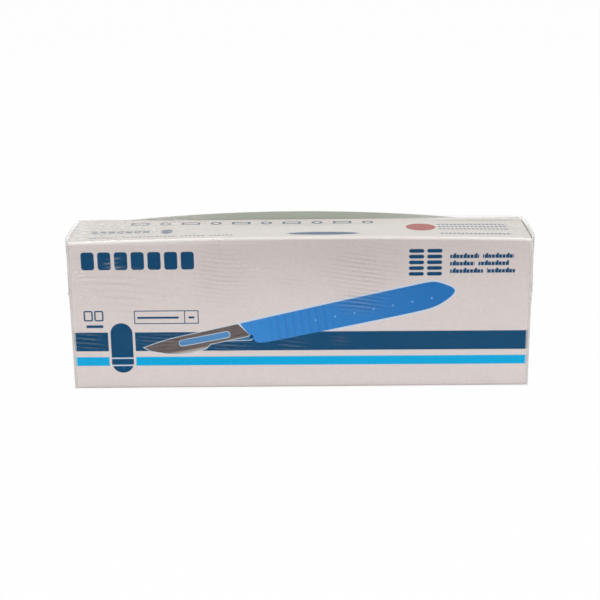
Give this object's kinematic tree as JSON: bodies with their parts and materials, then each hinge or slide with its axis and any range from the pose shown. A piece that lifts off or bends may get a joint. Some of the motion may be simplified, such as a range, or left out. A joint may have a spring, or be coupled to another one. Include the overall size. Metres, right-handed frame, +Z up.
{
  "type": "shrink-wrapped folding carton",
  "caption": "Long flat folding carton with a bowed lid, tucked ends and a raised rear edge, sealed in clear shrink film",
  "frame": {"origin": "centre of the footprint, on the surface that the pack stands on", "axes": "+X along the length, -Y out of the printed front panel, +Z up through the lid"},
  "size_m": [0.1938, 0.036, 0.0678],
  "materials": {
    "printed_board": "white-coated folding boxboard, satin, with dark blue and cyan bands",
    "clear_film": "clear, glossy shrunk polyolefin film"
  },
  "bodies": {
    "root": {"carton": "printed_board", "shrink_film": "clear_film"}
  },
  "joints": []
}
